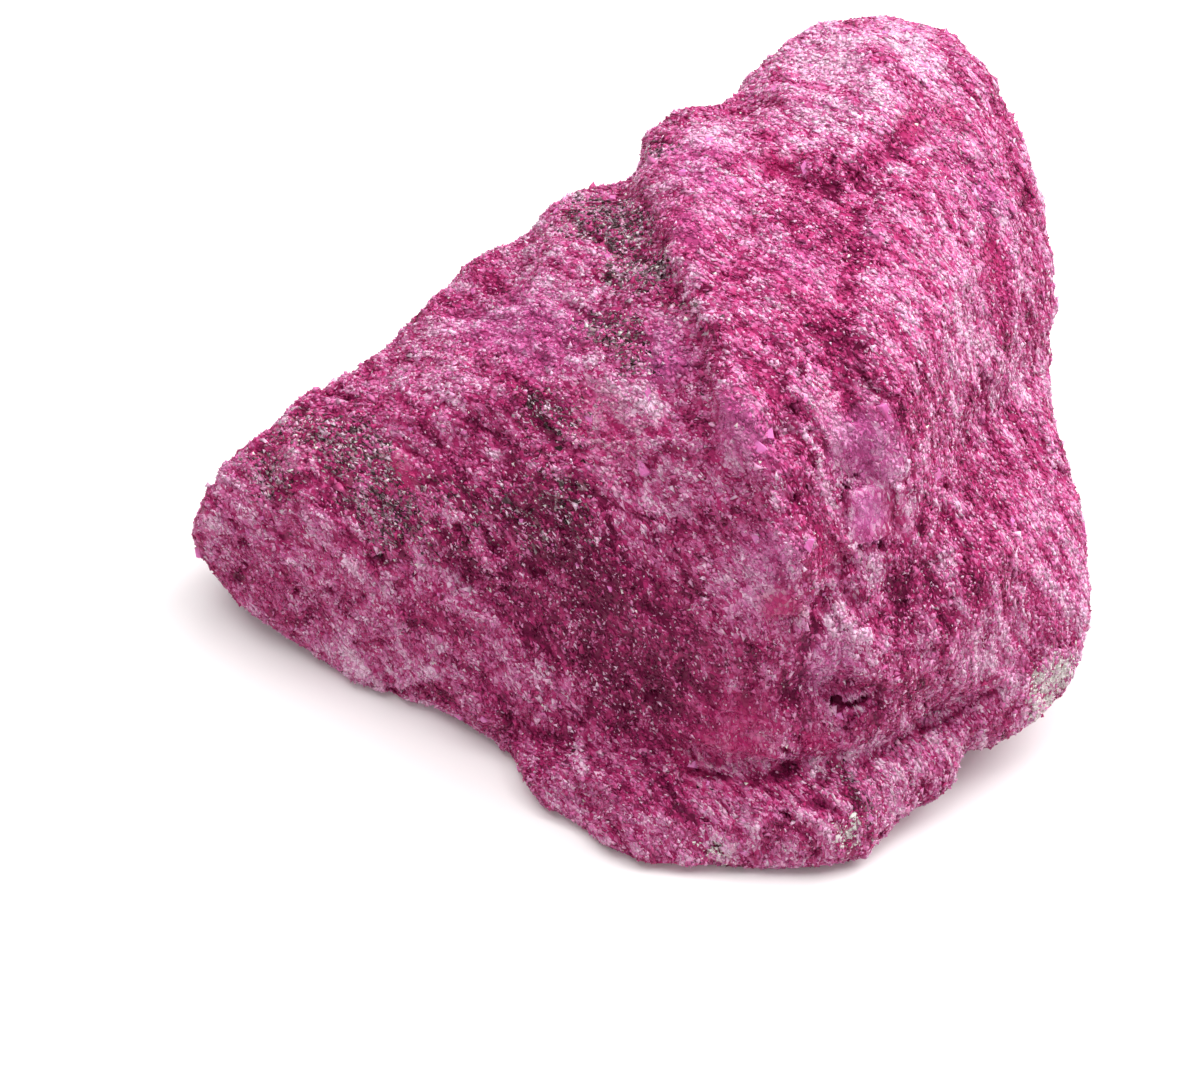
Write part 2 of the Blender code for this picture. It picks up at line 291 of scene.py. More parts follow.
# Flat cleaved faces: centre, the ways to the right and up, width and height, height of the left edge.
# Each takes in the skin up to the flat reach over and under it, in mm.
FLAT_REACH = 3.0
FLATS = [
    ((17.3, -17.6, 31.1), (0.99, 0.14, 0.04), (-0.22, 0.30, 0.93), (3.4, 4.4), 0.6),
    ((10.9, -21.9, 25.7), (0.95, -0.2, 0.1), (-0.1, 0.3, 0.93), (2.6, 2.2), 0.2),
    ((-17.9, -6.5, 22.1), (0.8, -0.6, 0.1), (0.3, 0.5, 0.8), (4.0, 2.2), 0.2),
]

# Places where the skin's mesh is cut finer: centre and reach.
FINE_CUTS = 2
FINE_PLACES = [
    ((17.2, -17.5, 31.2), 3.3),
    ((13.0, -16.0, 36.6), 2.8),
    ((16.0, -23.4, 14.4), 2.4),
    ((12.0, -25.6, 10.7), 1.8),
    ((8.3, -25.8, 7.6), 2.6),
    ((4.6, -25.2, 7.2), 2.4),
    ((12.2, -25.4, 8.0), 2.4),
]

# Lines worked into the stone: points, half width, depth. A negative depth makes a ridge, and a line
# that is deeper than a pit's depth gets a pale rim.
PIT_DEPTH = 0.5
CREASES = {
    "ledge under the bulge": (
        [
            (4.5, -24.8, 7.2),
            (6.4, -25.4, 7.3),
            (8.3, -25.8, 7.6),
            (10.6, -25.7, 7.9),
            (12.5, -25.3, 8.0),
        ],
        0.6,
        0.45,
    ),
    "broken edge beside the ledge": (
        [
            (15.2, -25.4, 8.3),
            (18.3, -24.9, 8.4),
            (22.2, -23.3, 8.7),
            (25.0, -21.4, 9.0),
            (27.7, -20.3, 10.5),
        ],
        0.7,
        0.25,
    ),
    "left arm of the band": ([(9.8, 6.6, 41.7), (12.4, 5.2, 42.1), (14.5, 3.4, 42.5)], 1.5, 0.25),
    "right arm of the band": ([(14.5, 3.4, 42.5), (17.5, 5.3, 42.7), (21.0, 9.0, 43.2)], 1.5, 0.25),
    "stem of the band": ([(16.7, 2.8, 42.4), (15.8, -3.3, 42.6), (14.9, -9.0, 41.7)], 1.2, 0.18),
    "hollow by the spine": ([(15.4, -13.0, 39.2), (16.8, -15.4, 37.0), (17.2, -16.4, 34.1)], 1.0, 0.25),
    "seam beside the bulge": (
        [
            (13.9, -21.1, 25.1),
            (13.4, -22.2, 23.5),
            (12.8, -22.9, 21.2),
            (12.3, -23.3, 18.5),
            (11.8, -24.0, 16.1),
        ],
        1.1,
        0.35,
    ),
    "furrow by the knob": ([(0.5, 6.7, 37.9), (1.3, 3.2, 37.5), (3.4, -2.9, 38.9)], 1.6, 0.15),
    "first dash": ([(-5.6, 9.6, 33.0), (2.0, -0.7, 38.0)], 0.7, 0.3),
    "second dash": ([(-5.5, 1.0, 33.1), (1.2, -6.3, 36.6)], 0.7, 0.3),
    "third dash": ([(-15.5, -3.4, 26.4), (-8.5, -8.5, 27.4)], 0.7, 0.3),
    "fourth dash": ([(-5.5, -11.7, 27.4), (1.2, -15.4, 27.3)], 0.7, 0.3),
    "left pit": ([(-11.3, -12.0, 19.9), (-10.5, -12.4, 19.5)], 0.9, 0.5),
    "long pit": ([(16.0, -23.4, 14.2), (17.4, -23.5, 14.7)], 0.65, 0.7),
    "pit beside it": ([(15.2, -23.3, 14.4), (15.5, -23.3, 14.6)], 0.5, 0.6),
    "open hole": ([(11.6, -25.4, 10.9), (12.2, -25.6, 10.5)], 0.6, 0.8),
    "foot pit": ([(11.4, -28.2, 6.7), (12.3, -28.4, 6.3)], 0.6, 0.7),
    "base pit": ([(6.5, -29.3, 3.1), (7.3, -29.3, 2.7)], 0.7, 0.7),
    "light ridge by the slit": (
        [(13.0, -15.6, 37.6), (13.5, -16.4, 36.0), (13.9, -17.6, 34.0)],
        0.7,
        -0.35,
    ),
    "step beside the flat face": (
        [(15.3, -16.9, 33.0), (15.8, -17.8, 31.0), (16.3, -18.6, 29.0)],
        0.5,
        0.3,
    ),
    "pit over the flat face": ([(15.8, -16.5, 33.8), (16.2, -16.4, 34.0)], 0.5, 0.45),
    "slit": ([(12.4, -15.2, 37.9), (12.7, -15.9, 37.1)], 0.5, 0.7),
    "middle ridge": (
        [
            (4.8, -3.5, 40.7),
            (6.3, -9.7, 40.2),
            (7.9, -15.3, 38.1),
            (9.7, -18.1, 34.6),
            (12.0, -21.0, 30.1),
        ],
        2.2,
        -0.3,
    ),
}

# Cleaved crystals: centre, the way the face looks, length and width, turn in degrees, and how far it
# stands above the skin.
CLEAVAGES = [
    ((12.4, -20.3, 31.0), (0.3, -0.75, 0.6), (1.2, 0.8), 60, 0.1),
    ((8.6, -16.2, 36.9), (-0.2, -0.7, 0.7), (1.8, 1.0), 150, 0.05),
    ((0.5, -13.1, 30.4), (-0.4, -0.6, 0.7), (2.0, 0.7), 150, 0.1),
    ((8.8, -19.4, 30.2), (-0.4, -0.8, 0.45), (1.4, 0.7), 130, 0.1),
    ((18.0, -14.5, 38.6), (0.3, -0.7, 0.65), (2.4, 0.8), 110, 0.05),
    ((-3.5, -9.0, 31.2), (-0.6, -0.5, 0.6), (1.8, 0.9), 150, 0.05),
    ((26.6, 0.9, 37.3), (0.75, -0.1, 0.65), (2.2, 1.2), 70, 0.0),
]
SMALL_CLEAVAGES = 110

# Studio: lights with their place and size in metres and power in watts, floor, world and lens.
LIGHTS = [
    ("key light", (0.32, 0.10, 0.42), 0.36, 3.05),
    ("top light", (-0.05, 0.10, 0.55), 0.50, 3.0),
    ("front light", (-0.30, -0.42, 0.36), 0.50, 0.62),
]
FLOOR_SIZE = 3
WORLD_COLOUR = (1, 0.98, 0.985, 1)
WORLD_STRENGTH = 0.33
LENS = 100
SENSOR = 36


# ---------------------------------------------------------------- settings


def size_setting(name, description, default, least):
    """A size that can be changed, given in mm."""
    return FloatProperty(
        name=name, description=description, default=default * MM, min=least * MM, unit="LENGTH"
    )


def count_setting(name, description, default, least):
    """A number of small things that can be changed."""
    return IntProperty(name=name, description=description, default=default, min=least)


def colour_setting(name, description, default):
    """A colour that can be changed."""
    return FloatVectorProperty(
        name=name, description=description, subtype="COLOR", size=3, default=default
    )


class RubyStoneSettings(bpy.types.PropertyGroup):
    """Sizes of the stone's skin and grains."""

    skin_mesh: size_setting(
        "Skin mesh", "Size of the coarse faces that the skin is divided from", 1.68, 0.8
    )
    layer_step: size_setting("Layer step", "Height of the broken edges of the layers", 0.26, 0)
    chip_height: size_setting("Chip height", "Height of the small tilted fracture faces", 0.13, 0)
    hole_depth: size_setting("Hole depth", "Depth of the small open holes between the layers", 0.45, 0)
    grain: size_setting("Grain", "Width of a sugary grain", 0.23, 0.1)
    grains: count_setting("Grains", "Number of grains in each piece of ruby grains", 36000, 100)
    splinter: size_setting("Splinter", "Width of a splinter", 0.18, 0.1)
    splinters: count_setting("Splinters", "Number of splinters", 24000, 100)
    flake: size_setting("Flake", "Width of a mica flake", 0.22, 0.1)
    flakes: count_setting("Flakes", "Number of mica flakes", 9000, 10)
    crumb: size_setting("Crumb", "Width of a crumb of matrix", 0.25, 0.1)
    crumbs: count_setting("Crumbs", "Number of crumbs of matrix", 2000, 10)


class RubyColourSettings(bpy.types.PropertyGroup):
    """Colours of the ruby and of what grows in it."""

    maroon: colour_setting("Maroon", "Deepest ruby, between the grains", (0.125, 0.003, 0.036))
    magenta: colour_setting("Magenta", "Ordinary ruby", (0.42, 0.024, 0.135))
    crimson: colour_setting("Crimson", "Glassy, saturated ruby", (0.44, 0.014, 0.115))
    pink: colour_setting("Pink", "Bruised, paler ruby", (0.615, 0.163, 0.370))
    frost: colour_setting("Frost", "Whitest crushed grains", (0.86, 0.57, 0.73))
    violet: colour_setting("Violet", "Lilac pink ruby", (0.68, 0.155, 0.46))
    mica: colour_setting("Mica", "Dark mica between the layers", (0.045, 0.022, 0.026))
    # Silver is partly the mica's own silvery colour and partly a painted glint.
    silver_and_painted_glint: colour_setting("Silver", "Mica that catches the light", (0.33, 0.235, 0.245))
    cream: colour_setting("Cream", "White matrix left on the stone", (0.86, 0.79, 0.76))
    floor: colour_setting("Floor", "Plain pale floor", (0.86, 0.83, 0.83))


class RubyStageSettings(bpy.types.PropertyGroup):
    """Camera and light."""

    elevation: FloatProperty(
        name="Elevation",
        description="How steeply the camera looks down",
        default=math.radians(54),
        subtype="ANGLE",
    )
    distance: FloatProperty(
        name="Distance",
        description="From the camera to the point it looks at",
        default=0.280,
        unit="LENGTH",
    )
    target: FloatVectorProperty(
        name="Target",
        description="The point that the camera looks at",
        subtype="TRANSLATION",
        unit="LENGTH",
        size=3,
        default=(-2.48 * MM, 2.97 * MM, 0),
    )


# ---------------------------------------------------------------- small tools


def deselect():
    """Deselects every object."""
    for other in bpy.context.view_layer.objects:
        other.select_set(False)


def only(piece):
    """Makes a piece the one selected and active object."""
    deselect()
    piece.select_set(True)
    bpy.context.view_layer.objects.active = piece


def apply(piece, kind, **settings):
    """Adds a modifier with these settings and applies it."""
    only(piece)
    made = piece.modifiers.new(kind.title(), kind)
    for name, value in settings.items():
        setattr(made, name, value)
    bpy.ops.object.modifier_apply(modifier=made.name)


def positions(mesh):
    """Places of a mesh's points."""
    found = np.empty(len(mesh.vertices) * 3)
    mesh.vertices.foreach_get("co", found)
    return found.reshape(-1, 3)


def normals(mesh):
    """Ways that a mesh's points face."""
    found = np.empty(len(mesh.vertices) * 3)
    mesh.vertex_normals.foreach_get("vector", found)
    return found.reshape(-1, 3)


def put(mesh, places):
    """Moves a mesh's points to these places."""
    mesh.vertices.foreach_set("co", places.astype(np.float32).ravel())
    mesh.update()


def store(mesh, name, values, domain="POINT"):
    """Keeps values on a mesh, for its material or for what is set on it."""
    layer = mesh.attributes.new(name, "FLOAT", domain)
    layer.data.foreach_set("value", np.asarray(values, np.float32))


def stored(mesh, name):
    """Values kept on a mesh."""
    found = np.empty(len(mesh.attributes[name].data), np.float32)
    mesh.attributes[name].data.foreach_get("value", found)
    return found


def dress(piece, material):
    """Gives a finished piece its material, and sets it on the stone in place of the plain solid."""
    piece.data.materials.clear()
    piece.data.materials.append(material)
    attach(piece, BODY)
    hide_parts(SOLID)


def clamped(value):
    """A value kept between 0 and 1."""
    return max(0.0, min(1.0, value))


def smoothstep(low, high, values):
    """From 0 at low to 1 at high, with soft ends."""
    share = np.clip((values - low) / (high - low), 0, 1)
    return share * share * (3 - 2 * share)


# ---------------------------------------------------------------- form of the skin


def layered(place, thin=LAYERS_THIN):
    """A place with its distance across the layers stretched, so that patterns lie along them."""
    return place + LAYERS_FACE * place.dot(LAYERS_FACE) * (thin - 1)


def waves(place, wide, shift=(0, 0, 0)):
    """Smooth noise at a place, with waves of about this width in mm, from about -1 to 1."""
    return noise.noise(place / wide + Vector(shift))


def tilted_face(place, wide):
    """Height of small planes at a place, one to each cell of a pattern, each tilted its own way."""
    cell = noise.voronoi(place / wide)[1][0]
    lean = noise.cell_vector(cell * 5.3) * 2 - Vector((1, 1, 1))
    return (place / wide - cell).dot(lean)


def skin_height(place, rough, sizes):
    """Height of the fine relief at a place, in mm."""
    step, chip, hole = sizes
    along = layered(place)
    wander = waves(place, 6.0) * 2.4 + waves(place, 2.2) * 0.5
    stepped = clamped(waves(place, 7.0, (9, 3, 1)) * 2.2 + 0.45)
    height = 0.0
    for thick, share in LAYER_STEPS:
        layer = (place.dot(LAYERS_FACE) + wander) / thick
        edge = layer - math.floor(layer)
        height += step * share * (edge ** 1.6 - 0.38) * stepped
    for wide, share, shift in CHIPS:
        height += chip * share * tilted_face(along + Vector(shift), wide)
    height += 0.12 * waves(layered(place, FIBRES_THIN), 2.4)
    height += 0.06 * waves(along, 0.9)
    open_hole = waves(along, 1.6, (4, 7, 2)) + 0.5 * waves(place, 8.0)
    height -= hole * clamped((open_hole - 0.55) * 4.0)
    return height * rough


def tone_at(place):
    """How pale the ruby is at a place, from its bands along the layers, its clouds and its scuffs."""
    banded = layered(place, BANDS_THIN)
    bands = waves(banded, 6.5) + 0.7 * waves(banded, 3.0, (3, 1, 7))
    bands += 0.35 * waves(banded, 1.6, (8, 6, 2))
    clouds = waves(place, 9.0, (1, 8, 4))
    scuff = clamped((waves(banded, 4.2, (6, 2, 9)) - 0.12) / 0.12)
    return 0.26 * bands + 0.16 * clouds + 0.11 * scuff


def seam_at(place):
    """How far a place lies in a thin dark seam between the layers."""
    line = abs(waves(layered(place, SEAMS_THIN), 6.0, (2, 5, 8)))
    return clamped(1 - line / 0.20) * clamped(waves(place, 5.0, (7, 7, 1)) * 2.0 + 0.55)


def streaks_at(places):
    """Thin pale and dark streaks along the layers, at many places."""
    face = np.array(LAYERS_FACE)
    stretched = places + (places @ face)[:, None] * face * (STREAKS_THIN - 1)
    return np.array([waves(Vector(place), 1.7) for place in stretched])


def patch_share(places, name):
    """How far each place lies in the patches of one name, from 0 to 1."""
    face = np.array(LAYERS_FACE)
    share = np.zeros(len(places))
    for centre, along, across, strength in PATCHES[name]:
        away = places - np.array(centre)
        over = away @ face
        flat = away - over[:, None] * face
        reach = np.sqrt((flat ** 2).sum(1) / along ** 2 + (over / across) ** 2)
        share = np.maximum(share, strength * smoothstep(1.45, 0.35, reach))
    return share


def drawn_in(places):
    """How the corners of the stone are moved at each place, in mm."""
    move = np.zeros(places.shape)
    for centre, reach, way in DRAWN_IN:
        share = smoothstep(reach, 0.25 * reach, np.linalg.norm(places - np.array(centre), axis=1))
        move += share[:, None] * np.array(way)
    return move


def flat_faces(places):
    """How far each place moves to lie on a flat face, in mm, its share in one, and its share in the left
    and top edges, which get a painted highlight.
    """
    move = np.zeros(len(places))
    share = np.zeros(len(places))
    edge = np.zeros(len(places))
    for centre, right, up, (wide, high), proud in FLATS:
        out = Vector(right).cross(Vector(up)).normalized()
        away = places - np.array(centre)
        across = away @ np.array(Vector(right).normalized()) / (wide / 2)
        along = away @ np.array(Vector(up).normalized()) / (high / 2)
        above = away @ np.array(out)
        inside = smoothstep(1.08, 0.96, np.abs(along)) * smoothstep(-1.10, -0.98, across)
        inside *= smoothstep(1.1, 0.3, across)
        inside *= smoothstep(FLAT_REACH, 0.6 * FLAT_REACH, np.abs(above))
        move += inside * (proud * (0.5 - 0.5 * across) - above)
        share = np.maximum(share, inside)
        # The left and top edges of each flat face take a painted highlight.
        painted_edge_highlight = np.maximum(smoothstep(-0.72, -0.95, across), smoothstep(0.80, 0.97, along))
        edge = np.maximum(edge, inside * painted_edge_highlight)
    return move, share, edge


def line_distance(places, points):
    """Distance of each place from a line through some points."""
    nearest = np.full(len(places), np.inf)
    for start, end in zip(points, points[1:]):
        run = np.subtract(end, start)
        share = np.clip((places - start) @ run / (run @ run), 0, 1)
        nearest = np.minimum(nearest, np.linalg.norm(places - start - share[:, None] * run, axis=1))
    return nearest


def creases(places):
    """Height of the worked lines at each place, in mm, its painted shade where a line is carved, and its
    share in a pit's rim.
    """
    height = np.zeros(len(places))
    painted_crease_shade = np.zeros(len(places))
    rim = np.zeros(len(places))
    for points, reach, depth in CREASES.values():
        away = line_distance(places, points)
        share = smoothstep(reach, 0.1 * reach, away)
        height -= depth * share
        # A carved line gets painted shade, darker as it is deeper.
        if depth > 0:
            painted_crease_shade = np.maximum(painted_crease_shade, share * min(1, depth / 0.6))
        if depth > PIT_DEPTH:
            rim = np.maximum(rim, smoothstep(1.8 * reach, 1.2 * reach, away) * (1 - share))
    return height, painted_crease_shade, rim


def neighbour_mean(mesh, values, rounds):
    """Values on a mesh's points, each replaced some rounds over by the mean of its neighbours."""
    ends = np.empty(len(mesh.edges) * 2, np.int64)
    mesh.edges.foreach_get("vertices", ends)
    a, b = ends.reshape(-1, 2).T
    count = np.bincount(a, minlength=len(values)) + np.bincount(b, minlength=len(values))
    for _ in range(rounds):
        total = np.bincount(a, values[b], len(values)) + np.bincount(b, values[a], len(values))
        values = total / np.maximum(count, 1)
    return values


def refine(stone):
    """Divides the faces of the skin more finely at the places with crisp small forms."""
    mesh = stone.data
    middles = np.empty(len(mesh.polygons) * 3)
    mesh.polygons.foreach_get("center", middles)
    middles = middles.reshape(-1, 3) / MM
    chosen = np.zeros(len(middles), bool)
    for centre, reach in FINE_PLACES:
        chosen |= np.linalg.norm(middles - np.array(centre), axis=1) < reach
    only(stone)
    bpy.ops.object.mode_set(mode="EDIT")
    bpy.ops.mesh.select_mode(type="FACE")
    bpy.ops.mesh.select_all(action="DESELECT")
    bpy.ops.object.mode_set(mode="OBJECT")
    mesh.polygons.foreach_set("select", chosen)
    bpy.ops.object.mode_set(mode="EDIT")
    bpy.ops.mesh.subdivide(number_cuts=FINE_CUTS, ngon=False)
    bpy.ops.object.mode_set(mode="OBJECT")


def skin_form(sizes):
    """The stone's skin: an even mesh laid on the solid, ready for the fine relief."""
    stone = bpy.data.objects.new(SKIN, frame["nodes"][SOLID].data.copy())
    bpy.context.scene.collection.objects.link(stone)
    only(stone)
    bpy.ops.object.mode_set(mode="EDIT")
    bpy.ops.mesh.select_all(action="SELECT")
    bpy.ops.mesh.remove_doubles(threshold=1e-6)
    bpy.ops.object.mode_set(mode="OBJECT")
    guide = stone.copy()
    guide.data = stone.data.copy()
    guide.name = "guide"
    bpy.context.scene.collection.objects.link(guide)
    stone.data.materials.clear()
    apply(stone, "REMESH", mode="VOXEL", voxel_size=sizes.skin_mesh)
    stone.data.uv_layers.new(name=UV_MAP)
    bpy.ops.object.mode_set(mode="EDIT")
    bpy.ops.mesh.select_all(action="SELECT")
    bpy.ops.uv.smart_project(angle_limit=math.radians(60), island_margin=0.004)
    bpy.ops.object.mode_set(mode="OBJECT")
    apply(stone, "SUBSURF", subdivision_type="SIMPLE", levels=2, render_levels=2)
    refine(stone)
    apply(stone, "SHRINKWRAP", target=guide, wrap_method="NEAREST_SURFACEPOINT")
    apply(stone, "SMOOTH", factor=0.5, iterations=2)
    bpy.data.objects.remove(guide)
    return stone


def work_relief(stone, sizes):
    """Moves the skin by the fine relief and stores its patches, hollows and tone on the mesh; the tone
    holds painted shade and painted highlights.
    """
    noise.seed_set(SEED)
    mesh = stone.data
    places = positions(mesh) / MM
    outward = normals(mesh)
    points = [Vector(place) for place in places]
    shake = np.array([noise.noise_vector(p / 1.6) + noise.noise_vector(p / 4.5) for p in points])
    shares = {name: patch_share(places + shake * PATCH_SHAKE, name) for name in FIELDS}
    rough = 1 - 0.62 * shares["smooth"] - 0.25 * shares["pale"]
    heights = (sizes.layer_step / MM, sizes.chip_height / MM, sizes.hole_depth / MM)
    height = np.array([skin_height(p, r, heights) for p, r in zip(points, rough)])
    seam = np.array([seam_at(p) for p in points]) * (1 - shares["smooth"])
    worked, painted_crease_shade, rim = creases(places + shake * LINE_SHAKE)
    height += worked - SEAM_DEPTH * seam
    flatten, flat, edge = flat_faces(places + shake * FLAT_SHAKE)
    height = height * (1 - 0.85 * flat) + flatten
    shares["smooth"] = np.maximum(shares["smooth"], 0.8 * flat)
    under = smoothstep(RELIEF_WHOLE, RELIEF_FADED, places[:, 2])
    height *= 1 - 0.75 * under
    height -= SKIN_SUNK
    moved = places + outward * height[:, None] + drawn_in(places)
    moved[:, 2] = np.maximum(moved[:, 2], 0)
    put(mesh, moved * MM)
    around = neighbour_mean(mesh, height, HOLLOW_ROUNDS)
    hollow = np.clip((around - height) / HOLLOW_DEPTH + 0.5, 0, 1)
    for name in FIELDS:
        store(mesh, name, shares[name])
    tone = TONE["plain"] + np.array([tone_at(p) for p in points])
    # The widest pale patch is painted light over the lit side, and the deep patches low on the front are
    # partly painted shadow.
    tone += TONE["pale"] * shares["pale"] - TONE["deep"] * shares["deep"]
    # Painted shade: hollows are darkened, and the raised places between them lightened.
    tone -= TONE["hollow"] * (hollow - 0.5)
    # Seams and mica are the stone's own darker colour; carved lines get painted shade.
    tone -= TONE["seam"] * seam + TONE["painted_crease_shade"] * painted_crease_shade + TONE["mica"] * shares["mica"]
    # Pits' rims are paler, and the flat faces' left and top edges get a painted highlight.
    tone += TONE["rim"] * rim + TONE["edge"] * edge
    store(mesh, "tone", tone)
    store(mesh, "hollow", hollow)
    mesh.attributes.new("outward", "FLOAT_VECTOR", "POINT")
    mesh.attributes["outward"].data.foreach_set("vector", outward.astype(np.float32).ravel())


# ---------------------------------------------------------------- nodes


class Nodes:
    """Short words for building one node tree."""

    def __init__(self, name):
        self.material = bpy.data.materials.new(name)
        self.material.use_nodes = True
        self.tree = self.material.node_tree
        self.shader = self.tree.nodes["Principled BSDF"]

    def add(self, kind, links=None, **settings):
        """A new node, with its settings and with values or links for its inputs."""
        node = self.tree.nodes.new(kind)
        for name, value in settings.items():
            setattr(node, name, value)
        for socket, value in (links or {}).items():
            self.join(value, node.inputs[socket])
        return node

    def join(self, value, socket):
        """Links an output to a socket, or sets a plain value on it."""
        if isinstance(value, bpy.types.NodeSocket):
            self.tree.links.new(value, socket)
        else:
            socket.default_value = value

    def maths(self, operation, a, b, clamp=False):
        """One sum of two values."""
        node = self.add("ShaderNodeMath", {0: a, 1: b}, operation=operation, use_clamp=clamp)
        return node.outputs[0]

    def mix(self, share, a, b):
        """Colour a turned to colour b by a share."""
        node = self.add("ShaderNodeMix", data_type="RGBA")
        self.join(share, node.inputs["Factor"])
        for value, socket in ((a, node.inputs[6]), (b, node.inputs[7])):
            self.join(value if isinstance(value, bpy.types.NodeSocket) else (*value, 1), socket)
        return node.outputs[2]

    def waves(self, place, scale, **inputs):
        """Smooth noise, with this many waves to the metre."""
        node = self.add("ShaderNodeTexNoise", {"Vector": place, "Scale": scale, **inputs})
        return node.outputs["Fac"]

    def stored(self, name):
        """Values kept on the mesh under a name."""
        return self.add("ShaderNodeAttribute", attribute_name=name).outputs["Fac"]

    def span(self, value, low, high, to_low=0.0, to_high=1.0):
        """A value between low and high, laid out between two others."""
        node = self.add(
            "ShaderNodeMapRange",
            {"Value": value, "From Min": low, "From Max": high, "To Min": to_low, "To Max": to_high},
            clamp=True,
        )
        return node.outputs["Result"]

    def ramp(self, value, stops):
        """A colour for a value, from stops of a place from 0 to 1 and a colour."""
        node = self.add("ShaderNodeValToRGB", {"Fac": value})
        elements = node.color_ramp.elements
        while len(elements) < len(stops):
            elements.new(0.5)
        for element, (place, colour) in zip(elements, stops):
            element.position = place
            element.color = (*colour, 1)
        return node.outputs["Color"]

    def along_layers(self, thin):
        """Object coordinates turned onto the layers and stretched across them."""
        turn = LAYERS_FACE.rotation_difference(Vector((0, 0, 1))).to_euler()
        place = self.add("ShaderNodeTexCoord").outputs["Object"]
        turned = self.add("ShaderNodeMapping", {"Vector": place, "Rotation": turn})
        stretched = {"Vector": turned.outputs[0], "Scale": (1, 1, thin)}
        return self.add("ShaderNodeMapping", stretched).outputs[0]

    def finish(self, specular, glow, depth, tint=(1, 1, 1), radius=(1.0, 0.2, 0.5)):
        """Sets what is the same all over a piece of ruby: its gloss, and how light goes into it."""
        inputs = self.shader.inputs
        inputs["IOR"].default_value = RUBY_IOR
        inputs["Specular IOR Level"].default_value = specular
        inputs["Specular Tint"].default_value = (*tint, 1)
        inputs["Subsurface Weight"].default_value = glow
        inputs["Subsurface Radius"].default_value = radius
        inputs["Subsurface Scale"].default_value = depth * MM
        return self.material


def tip_normal(nodes, cells, amount):
    """The surface normal tipped its own way in each cell, which gives a grain its glint."""

    def vector(operation, links):
        return nodes.add("ShaderNodeVectorMath", links, operation=operation).outputs[0]

    lean = vector("SUBTRACT", {0: cells, 1: (0.5, 0.5, 0.5)})
    scaled = vector("SCALE", {0: lean, "Scale": amount})
    face = nodes.add("ShaderNodeNewGeometry").outputs["Normal"]
    return vector("NORMALIZE", {0: vector("ADD", {0: face, 1: scaled})})


def ruby_stops(colours, ordinary):
    """Ruby from its deepest to its palest, with ordinary ruby at this tone."""
    return [
        (0.0, colours.maroon),
        (ordinary, colours.magenta),
        (0.68, colours.pink),
        (1.0, colours.frost),
    ]


def ruby_skin_material(colours):
    """Massive ruby: painted shade in maroon between the grains, magenta to frosted pink on them, with
    mica streaks.
    """
    nodes = Nodes("Sugary ruby")
    place = nodes.along_layers(2.3)
    pattern = {"Vector": place, "Scale": SKIN_CELLS}
    cells = nodes.add("ShaderNodeTexVoronoi", pattern).outputs["Color"]
    chance = nodes.add("ShaderNodeSeparateColor", {"Color": cells}).outputs
    borders = nodes.add("ShaderNodeTexVoronoi", pattern, feature="DISTANCE_TO_EDGE")
    streaks = nodes.waves(nodes.along_layers(4.5), 420.0, Detail=4.0, Roughness=0.65)
    tone = nodes.maths("ADD", nodes.stored("tone"), nodes.span(chance[0], 0, 1, -0.34, 0.20))
    tone = nodes.maths("ADD", tone, nodes.span(streaks, 0.3, 0.7, -0.24, 0.22), clamp=True)
    colour = nodes.ramp(tone, ruby_stops(colours, 0.40))
    for patch, strength, shade in (("crimson", 0.75, colours.crimson), ("violet", 0.6, colours.violet)):
        colour = nodes.mix(nodes.maths("MULTIPLY", nodes.stored(patch), strength), colour, shade)
    flake = nodes.maths("MULTIPLY", nodes.span(streaks, 0.44, 0.60), nodes.stored("mica"))
    flake = nodes.maths("MULTIPLY", flake, nodes.span(chance[1], 0.35, 0.55))
    # Flakes of mica on the skin: dark mica, silver that is partly a painted glint, and cream.
    greys = [(0.0, colours.mica), (0.6, colours.silver_and_painted_glint), (1.0, colours.cream)]
    colour = nodes.mix(flake, colour, nodes.ramp(chance[2], greys))
    crumb = nodes.maths("ADD", nodes.stored("cream"), nodes.maths("MULTIPLY", chance[2], 0.5))
    colour = nodes.mix(nodes.span(crumb, 0.7, 0.95), colour, colours.cream)
    # Painted shade: the colour turns to maroon at the borders between the grain-sized cells.
    shade = nodes.span(borders.outputs["Distance"], 0.0, 0.10, 0.55, 1.0)
    colour = nodes.mix(nodes.maths("SUBTRACT", 1.0, shade), colour, colours.maroon)
    nodes.join(colour, nodes.shader.inputs["Base Color"])
    nodes.join(nodes.span(chance[1], 0, 1, 0.28, 0.62), nodes.shader.inputs["Roughness"])
    nodes.join(tip_normal(nodes, cells, 0.75), nodes.shader.inputs["Normal"])
    return nodes.finish(0.12, 0.12, 0.8, tint=(1, 0.5, 0.72), radius=(1.0, 0.15, 0.4))


def grain_material(name, stops, rough, tints=None):
    """A grain's material: its own tone comes with it, and a few are glassy."""
    nodes = Nodes(name)
    colour = nodes.ramp(nodes.stored("tone"), stops)
    for tint, shade in (tints or {}).items():
        colour = nodes.mix(nodes.stored(tint), colour, shade)
    nodes.join(colour, nodes.shader.inputs["Base Color"])
    nodes.join(nodes.span(nodes.stored("gloss"), 0, 1, *rough), nodes.shader.inputs["Roughness"])
    return nodes.finish(0.22, 0.10, 0.4, tint=(1, 0.6, 0.8))


